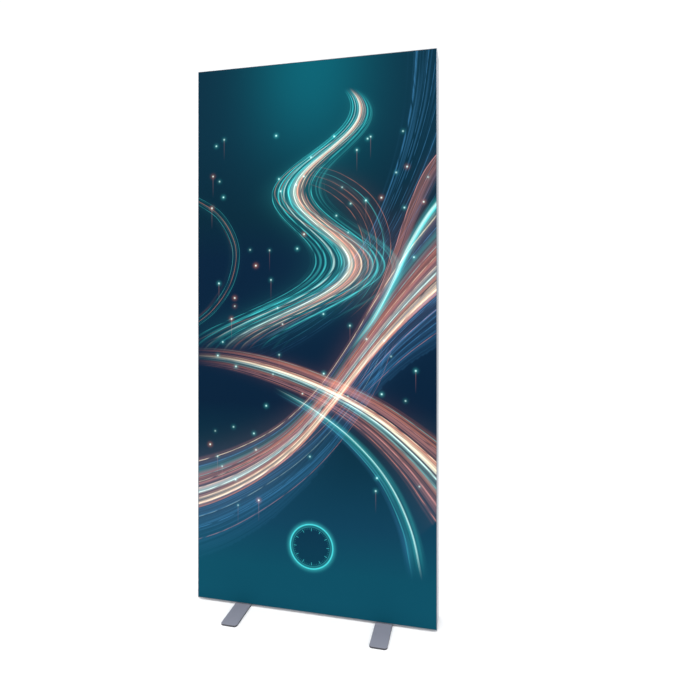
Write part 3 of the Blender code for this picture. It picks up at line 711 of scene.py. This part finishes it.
def paint_ring(finish, art, right, up, settings):
    """A plain glowing ring with even marks inside it."""
    radius = finish.math("SQRT", right * right + up * up)
    inside = finish.rise(radius, RING_RADIUS, RING_RADIUS - 5)
    art = finish.mix(inside * 0.5, art, tinted(settings.deep, 0.9))
    ring = finish.bell(radius, RING_RADIUS, 2.2) * 0.85
    ring = ring + finish.bell(radius, RING_RADIUS + 2, 9) * 0.3
    ring = ring + finish.bell(radius, RING_RADIUS - 9, 1.3) * 0.25
    turn = finish.math("ARCTAN2", right, up) * (1 / math.tau)
    for count, inner, width, strength in RING_MARKS:
        phase = finish.math("FRACT", turn * count + 0.5) - 0.5
        offset = finish.math("ABSOLUTE", phase) * radius * (math.tau / count)
        band = finish.rise(radius, inner, inner + 1)
        band = band * finish.rise(radius, MARKS_OUTER, MARKS_OUTER - 1)
        ring = ring + finish.rise(offset, width, width * 0.4) * band * strength
    return finish.added(art, finish.scaled(settings.cyan, ring))


def print_artwork(finish, settings):
    """The whole artwork's colour at a place on the cloth."""
    x, _, z = finish.split(finish.here())
    right = (x - LEFT) * (1 / MILLIMETRE)
    down = (TOP - z) * (1 / MILLIMETRE)
    height = (TOP - BOTTOM) / MILLIMETRE
    stops = [
        (level / height, tinted(getattr(settings, colour), share))
        for level, colour, share in BACKGROUND
    ]
    art = finish.ramp(down * (1 / height), stops)
    glow_right = (right - GLOW_CENTRE[0]) * (1 / GLOW_SPREAD[0])
    glow_down = (down - GLOW_CENTRE[1]) * (1 / GLOW_SPREAD[1])
    glow = finish.math("EXPONENT", (glow_right * glow_right + glow_down * glow_down) * -1)
    art = finish.added(art, finish.scaled(linear(0, 84, 92), glow * 0.85))
    art = finish.added(art, finish.own("haze"))
    for name, trail in TRAILS.items():
        art = finish.added(art, trail_light(finish, name, trail, settings))
    light_x, light_z, power = finish.split(finish.own("lights"))
    gap = light_x * light_x + light_z * light_z
    strength = finish.math("ABSOLUTE", power)
    core = finish.math("EXPONENT", gap * (-1 / 7)) * strength
    halo = finish.math("EXPONENT", gap * (-1 / 70)) * strength * strength * 0.22
    tone = finish.mix(finish.rise(power, -0.05, 0.05), settings.copper, settings.cyan)
    art = finish.added(art, finish.scaled(tone, halo))
    art = finish.added(art, finish.scaled(settings.pale, core))
    stem_x, stem_lit, _ = finish.split(finish.own("stems"))
    stem = finish.bell(stem_x, 0, 1.1) * stem_lit * 0.6
    art = finish.added(art, finish.scaled(settings.rose, stem))
    art = paint_ring(finish, art, right - RING[0], RING[1] - down, settings)
    # Painted shade along the rim, where the cloth turns into the groove: the art falls to 0.3 of
    # its colour at the edge and is full from about 3 mm in.
    rim_distance_for_shade, _, _ = finish.split(finish.own("rim"))
    art = finish.scaled(art, 0.3 + finish.rise(rim_distance_for_shade, 0.8, 3.2) * 0.7)
    return finish.added(art, (0, 0, 0), clamp_result=True)


WALE = 0.0011
COURSE = 0.0009
INK_REFLECTION = 0.84


def knit(finish):
    """The height of a fine warp knit."""
    x, _, z = finish.split(finish.here())
    wales = finish.math("SINE", x * (math.tau / WALE))
    courses = finish.math("SINE", z * (math.tau / COURSE) + finish.math("ABSOLUTE", wales) * 1.5)
    return wales * 0.5 + courses * 0.5


def printed_cloth(settings):
    finish = Finish("printed_textile", 0.85, specular=0.02)
    art = print_artwork(finish, settings)
    thread = knit(finish)
    fuzz = finish.noise(finish.here(), 900.0, 2.0)
    art = finish.scaled(art, 0.97 + thread * 0.03)
    return finish.surface(
        Base_Color=finish.scaled(art, (1 - settings.glow) * INK_REFLECTION),
        Emission_Color=art,
        Emission_Strength=settings.glow,
        Roughness=0.8 + fuzz * 0.12,
        Normal=finish.bump(thread + fuzz * 0.6, 0.00006, 0.5),
    )


def plain_cloth(settings):
    finish = Finish("textile_reverse", 0.85, specular=0.15)
    thread = knit(finish)
    fuzz = finish.noise(finish.here(), 700.0, 2.0)
    cloud = finish.noise(finish.here(), 3.0, 2.0)
    tone = finish.mix(cloud, tinted(settings.reverse, 0.93), tinted(settings.reverse, 1.03))
    return finish.surface(
        Base_Color=finish.scaled(tone, 0.96 + thread * 0.04),
        Roughness=0.8 + fuzz * 0.12,
        Normal=finish.bump(thread + fuzz * 0.6, 0.00006, 0.6),
    )


def cloth_shape(settings):
    """A taut sheet that turns back into the groove on all four sides."""
    low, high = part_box("print")
    groove_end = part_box("print_edging_left")[1].y + 0.0002
    radius = settings.edge_radius
    front = low.y + 0.0001
    half_x = high.x + 0.0002 - radius
    half_z = (high.z - low.z) / 2 + 0.0002 - radius
    middle = (high.z + low.z) / 2
    shape = bmesh.new()
    bmesh.ops.create_grid(
        shape,
        x_segments=round(2 * half_x / settings.cell),
        y_segments=round(2 * half_z / settings.cell),
        size=1,
    )
    reach = max(vert.co.x for vert in shape.verts)
    fit = Matrix.Diagonal((half_x / reach, half_z / reach, 1, 1))
    stand = Matrix.Translation((0, front, middle)) @ Matrix.Rotation(math.radians(90), 4, "X")
    bmesh.ops.transform(shape, matrix=stand @ fit, verts=shape.verts)
    turn = [(radius * math.sin(a), radius * (1 - math.cos(a))) for a in np.radians((30, 60, 90))]
    rim = [edge for edge in shape.edges if edge.is_boundary]
    for out, back in turn + [(radius, groove_end - front)]:
        grown = bmesh.ops.extrude_edge_only(shape, edges=rim)["geom"]
        rim = [item for item in grown if isinstance(item, bmesh.types.BMEdge) and item.is_boundary]
        for vert in (item for item in grown if isinstance(item, bmesh.types.BMVert)):
            up = vert.co.z - middle
            if abs(vert.co.x) > half_x - 1e-5:
                vert.co.x = math.copysign(half_x + out, vert.co.x)
            if abs(up) > half_z - 1e-5:
                vert.co.z = middle + math.copysign(half_z + out, up)
            vert.co.y = front + back
    bmesh.ops.recalc_face_normals(shape, faces=shape.faces)
    shape.faces.ensure_lookup_table()
    if shape.faces[0].normal.y > 0:
        bmesh.ops.reverse_faces(shape, faces=shape.faces)
    for face in shape.faces:
        face.smooth = True
    return shape


class LIGHTBOX_OT_print(bpy.types.Operator):
    """Stretch the printed cloth over the front and sew on its silicone edging"""

    bl_idname = "lightbox.print"
    bl_label = "Add print"

    def execute(self, context):
        settings = context.scene.lightbox_print
        rails = context.scene.lightbox_frame
        shape = cloth_shape(settings)
        cloths = [printed_cloth(settings), plain_cloth(settings)]
        piece = piece_from("print_cloth", shape, cloths, "print")
        lay_out_artwork(piece, settings)
        solid = piece.modifiers.new("thickness", "SOLIDIFY")
        solid.thickness = settings.thickness
        solid.offset = -1
        solid.material_offset = 1
        solid.material_offset_rim = 1
        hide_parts("print")
        edging = grained("silicone", rails.silicone, 0.45, specular=0.4, scale=900.0, spread=0.1)
        for side in ("bottom", "top", "left", "right"):
            node = f"print_edging_{side}"
            softened_piece(node, "print", [edging], 0.0004, 3)
        return {"FINISHED"}


def main():
    register()
    bpy.ops.lightbox.rails()
    bpy.ops.lightbox.connectors()
    bpy.ops.lightbox.wall()
    bpy.ops.lightbox.lighting()
    bpy.ops.lightbox.print()
    bpy.ops.lightbox.feet()
    bpy.ops.lightbox.stage()


def brushed(name, settings, along):
    """Satin anodised aluminium with its extrusion lines along an axis."""
    grain = [900.0, 900.0, 900.0]
    grain[along] = 3.0
    finish = Finish(name, 0.36, 1.0)
    lines = finish.noise(finish.here(tuple(grain)), 1.0, 3.0, 0.7)
    cloud = finish.noise(finish.here(), 9.0, 3.0)
    fine = finish.noise(finish.here(), 2500.0, 1.0)
    base = settings.aluminium
    tone = finish.mix(finish.rise(lines, 0.3, 0.7), tinted(base, 0.86), tinted(base, 1.08))
    tone = finish.mix(cloud * 0.35, tone, tinted(base, 0.8))
    return finish.surface(
        Base_Color=tone,
        Roughness=0.3 + lines * 0.1 + cloud * 0.08,
        Normal=finish.bump(lines * 0.7 + fine * 0.3, 0.000012),
    )


class LIGHTBOX_OT_rails(bpy.types.Operator):
    """Replace the frame rails by extrusions with rounded edges"""

    bl_idname = "lightbox.rails"
    bl_label = "Add rails"

    def execute(self, context):
        settings = context.scene.lightbox_frame
        level = brushed("aluminium_level", settings, 0)
        upright = brushed("aluminium_upright", settings, 2)
        sides = [f"rail_{side}_{half}" for side in ("left", "right") for half in ("lower", "upper")]
        for node in ("rail_bottom", "rail_top", *sides, "back_panel_joint"):
            metal = upright if node in sides else level
            softened_piece(node, "frame", [metal], settings.softening)
        return {"FINISHED"}


class LIGHTBOX_OT_connectors(bpy.types.Operator):
    """Replace the corner connectors, splice bars and screws by rounded ones"""

    bl_idname = "lightbox.connectors"
    bl_label = "Add connectors"

    def execute(self, context):
        settings = context.scene.lightbox_frame
        plastic = grained("connector_plastic", settings.plastic, 0.42, scale=1200.0, depth=0.00003)
        zinc = grained(
            "zinc_plate", settings.steel, 0.32, 1.0, scale=260.0, cloud=60.0, cloud_depth=0.1
        )
        for corner in ("bottom_left", "bottom_right", "top_left", "top_right"):
            node = f"connector_{corner}"
            radius = settings.mould_radius
            softened_piece(node, "frame", [plastic], radius, 3)
            for index in (1, 2):
                softened_piece(f"{node}_screw_{index}", "frame", [zinc], 0.0003, 2, 40)
        for side in ("left", "right"):
            softened_piece(f"splice_{side}", "frame", [zinc], 0.0003)
            softened_piece(f"splice_{side}_screw", "frame", [zinc], 0.0003, 2, 40)
        return {"FINISHED"}


class LIGHTBOX_OT_wall(bpy.types.Operator):
    """Give the two back wall panels their foam board finish and worked edges"""

    bl_idname = "lightbox.wall"
    bl_label = "Add back wall"

    def execute(self, context):
        settings = context.scene.lightbox_frame
        board = grained(
            "foam_board", settings.wall, 0.55, specular=0.35, scale=180.0, depth=0.00006,
            cloud=2.2, cloud_depth=0.04,
        )
        for half in ("lower", "upper"):
            softened_piece(f"back_panel_{half}", "frame", [board], 0.0002)
        return {"FINISHED"}


LED_ROWS = 12
LED_BAR_THICKNESS = 0.002
LENS_FROM_SIDE = 0.090
LENSES_PER_ROW = 4
LENS_RADIUS = 0.0046
SEAT_RADIUS = 0.0055
SEAT_EDGE = 0.0012
SEAT_HEIGHT = 0.0016
SEAT_DEPTH = -0.0005
CHIP_FROM_LENS = 0.085
CHIP_SIZE = (0.008, 0.0012, 0.005)


def rounded_block(shape, centre, size, radius, material):
    """Add a block with rounded edges."""
    fit = Matrix.Translation(centre) @ Matrix.Diagonal((*size, 1))
    verts = bmesh.ops.create_cube(shape, size=1, matrix=fit)["verts"]
    edges = list(dict.fromkeys(edge for vert in verts for edge in vert.link_edges))
    faces = {face for vert in verts for face in vert.link_faces}
    strips = rounded(shape, edges, radius)
    for face in (*(face for face in faces if face.is_valid), *strips):
        face.material_index = material


def turned_front(shape, profile, centre, materials, steps=20):
    """Spin a (radius, height) profile round an axis that points to the front.

    Faces above the profile's third point take the first material and the others the second.
    """
    first = [
        shape.verts.new((centre.x + radius, centre.y - height, centre.z))
        for radius, height in profile
    ]
    edges = [shape.edges.new(pair) for pair in zip(first, first[1:])]
    before = set(shape.faces)
    bmesh.ops.spin(
        shape, geom=first + edges, cent=centre, axis=(0, 1, 0), angle=math.tau, steps=steps,
        use_merge=True,
    )
    made = [face for face in shape.faces if face not in before]
    verts = list(dict.fromkeys(vert for face in made for vert in face.verts))
    bmesh.ops.remove_doubles(shape, verts=verts, dist=1e-6)
    made = [face for face in shape.faces if face not in before]
    for face in made:
        height = centre.y - face.calc_center_median().y
        face.material_index = materials[0] if height > profile[2][1] * 0.999 else materials[1]


def led_strip(node):
    """A bar with smoky round lenses in flanged seats and small driver chips between them."""
    low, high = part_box(node)
    front = high.y - LED_BAR_THICKNESS
    middle = (low + high) / 2
    shape = bmesh.new()
    bar_size = (high.x - low.x, LED_BAR_THICKNESS, high.z - low.z)
    bar_centre = (middle.x, front + LED_BAR_THICKNESS / 2, middle.z)
    rounded_block(shape, bar_centre, bar_size, 0.0003, 0)
    pitch = (RIGHT - LEFT - 2 * LENS_FROM_SIDE) / (LENSES_PER_ROW - 1)
    reach = front - low.y
    seat = [
        (0.0, SEAT_DEPTH), (SEAT_RADIUS, SEAT_DEPTH), (SEAT_RADIUS, SEAT_EDGE),
        (LENS_RADIUS, SEAT_HEIGHT),
    ]
    dome = [
        (LENS_RADIUS * math.cos(angle), SEAT_HEIGHT + (reach - SEAT_HEIGHT) * math.sin(angle))
        for angle in np.radians((18, 36, 54, 72, 90))
    ]
    for index in range(LENSES_PER_ROW):
        x = LEFT + LENS_FROM_SIDE + pitch * index
        turned_front(shape, seat + dome, Vector((x, front, middle.z)), (1, 2))
        if index:
            width, thickness, height = CHIP_SIZE
            spot = (x - CHIP_FROM_LENS, front - thickness / 2 + 0.0001, middle.z)
            rounded_block(shape, spot, (width, thickness, height), 0.0002, 2)
    bmesh.ops.recalc_face_normals(shape, faces=shape.faces)
    shade(shape)
    return shape


class LIGHTBOX_OT_lighting(bpy.types.Operator):
    """Replace the LED strips, their supply, driver and inlet, and give the wires a sheath finish"""

    bl_idname = "lightbox.lighting"
    bl_label = "Add lighting"

    def execute(self, context):
        settings = context.scene.lightbox_frame
        board = grained("led_board", settings.board, 0.4, scale=700.0, coat=0.3)
        lens = grained("led_lens", settings.lens, 0.16, scale=300.0, depth=0.000004, coat=1.0)
        chip = grained("led_chip", linear(150, 150, 146), 0.4, scale=1500.0)
        for row in range(LED_ROWS):
            node = f"led_strip_{row + 1:02d}"
            finishes = [board, lens, chip]
            strip = piece_from(f"{node}_finished", led_strip(node), finishes, "frame")
            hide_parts(node)
        for half in ("lower", "upper"):
            softened_piece(f"supply_bus_{half}", "frame", [board], 0.0003)
        plastic = grained("link_plastic", settings.plastic, 0.42, scale=1200.0)
        softened_piece("supply_bus_link", "frame", [plastic], 0.0006, 3)
        case = grained("driver_case", settings.plastic, 0.5, scale=500.0, depth=0.00004)
        softened_piece("led_driver", "frame", [case], 0.0005, 3)
        black = grained("inlet_plastic", linear(34, 34, 36), 0.38, scale=1500.0)
        softened_piece("mains_inlet", "frame", [black], 0.0003, 2, 40)
        sheath = grained("lead_sheath", linear(222, 222, 222), 0.45, scale=600.0)
        for node in ("lead_bus_to_driver", "lead_inlet_to_driver"):
            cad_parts[node].data.materials.clear()
            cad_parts[node].data.materials.append(sheath)
        return {"FINISHED"}


class LIGHTBOX_OT_feet(bpy.types.Operator):
    """Replace the feet's plates, pads, washers, screws and nut plates"""

    bl_idname = "lightbox.feet"
    bl_label = "Add feet"

    def execute(self, context):
        settings = context.scene.lightbox_feet
        steel = context.scene.lightbox_frame.steel
        paint = grained(
            "powder_coat", settings.paint, 0.5, specular=0.45, scale=850.0, depth=0.00008,
            spread=0.16,
        )
        # Painted shade: the foot plates' upright sides and steep rounded edges take the powder
        # coat's colour darkened to a fifth, standing in for the shade on them.
        plate_side_shade = grained("powder_coat_edges", tinted(settings.paint, 0.2), 0.5, scale=850.0)
        rubber = grained("pad_rubber", settings.rubber, 0.85, specular=0.3, depth=0.0001)
        nylon = grained("washer_nylon", settings.nylon, 0.45, scale=700.0)
        zinc = grained("pivot_steel", steel, 0.3, 1.0, scale=260.0, cloud=60.0)
        for side in ("left", "right"):
            body = f"foot_{side}"
            finishes = [paint, plate_side_shade]
            plate = softened_piece(f"{body}_plate", body, finishes, settings.bevel, 3)
            # Painted shade goes on every face that stands steeper than 60 degrees; the flatter
            # faces keep the powder coat.
            for face in plate.data.polygons:
                face.material_index = int(abs(face.normal.z) < 0.5)
            softened_piece(f"{body}_pad", body, [rubber], 0.0002)
            softened_piece(f"{body}_washer", "frame", [nylon], 0.0002, 2, 40)
            softened_piece(f"{body}_screw", "frame", [zinc], 0.0003, 2, 40)
            softened_piece(f"{body}_nut_plate", "frame", [zinc], 0.0003)
        return {"FINISHED"}


def softbox(name, location, aim, size, power, colour):
    light = bpy.data.lights.new(name, "AREA")
    light.shape = "RECTANGLE"
    light.size, light.size_y = size
    light.energy = power
    light.color = colour
    item = placed(name, light)
    item.location = location
    item.rotation_euler = (Vector(aim) - Vector(location)).to_track_quat("-Z", "Y").to_euler()


class LIGHTBOX_OT_stage(bpy.types.Operator):
    """Lay the floor and set the camera and the soft studio light"""

    bl_idname = "lightbox.stage"
    bl_label = "Add stage"

    def execute(self, context):
        settings = context.scene.lightbox_stage
        shape = bmesh.new()
        bmesh.ops.create_grid(shape, x_segments=8, y_segments=8, size=16)
        finish = Finish("studio_floor", 0.9, specular=0.1)
        cloud = finish.noise(finish.here(), 1.5, 2.0)
        tone = finish.mix(cloud, tinted(settings.floor, 0.985), tinted(settings.floor, 1.01))
        floor = item_from("studio_floor", shape, [finish.surface(Base_Color=tone)])
        world = bpy.data.worlds.new("studio")
        world.use_nodes = True
        background = world.node_tree.nodes["Background"]
        background.inputs["Color"].default_value = (1, 1, 1, 1)
        background.inputs["Strength"].default_value = settings.sky
        context.scene.world = world
        softbox("key", (-2.6, -3.2, 3.4), (0, 0, 0.8), (2.6, 2.6), 60, (1, 0.99, 0.97))
        softbox("top", (0.2, -1.8, 4.2), (0.2, -1.5, 0), (3.2, 3.2), 70, (1, 1, 1))
        softbox("fill", (3.4, -2.2, 2.2), (0, 0, 0.8), (2.4, 2.4), 34, (0.97, 0.98, 1))
        camera = bpy.data.cameras.new("camera")
        camera.lens = settings.lens
        camera.shift_y = settings.drop
        camera.clip_start = 0.05
        item = placed("camera", camera)
        item.location = settings.camera
        item.rotation_euler = Euler((math.radians(90), 0, settings.turn))
        context.scene.camera = item
        context.scene.view_settings.view_transform = "Standard"
        return {"FINISHED"}


class LIGHTBOX_PT_panel(bpy.types.Panel):
    bl_label = "Textile light box"
    bl_idname = "LIGHTBOX_PT_panel"
    bl_space_type = "VIEW_3D"
    bl_region_type = "UI"
    bl_category = "Light box"

    def draw(self, context):
        for operator in OPERATORS:
            self.layout.operator(operator.bl_idname)
        for name, group in SETTINGS.items():
            box = self.layout.box()
            for key in group.__annotations__:
                box.prop(getattr(context.scene, name), key)


OPERATORS = (
    LIGHTBOX_OT_rails, LIGHTBOX_OT_connectors, LIGHTBOX_OT_wall, LIGHTBOX_OT_lighting,
    LIGHTBOX_OT_print, LIGHTBOX_OT_feet, LIGHTBOX_OT_stage,
)
SETTINGS = {
    "lightbox_print": LIGHTBOX_print_settings,
    "lightbox_frame": LIGHTBOX_frame_settings,
    "lightbox_feet": LIGHTBOX_feet_settings,
    "lightbox_stage": LIGHTBOX_stage_settings,
}


def register():
    for kind in (*SETTINGS.values(), *OPERATORS, LIGHTBOX_PT_panel):
        bpy.utils.register_class(kind)
    for name, group in SETTINGS.items():
        setattr(bpy.types.Scene, name, bpy.props.PointerProperty(type=group))


def unregister():
    for name in SETTINGS:
        delattr(bpy.types.Scene, name)
    for kind in reversed((*SETTINGS.values(), *OPERATORS, LIGHTBOX_PT_panel)):
        bpy.utils.unregister_class(kind)


if __name__ == "__main__":
    main()
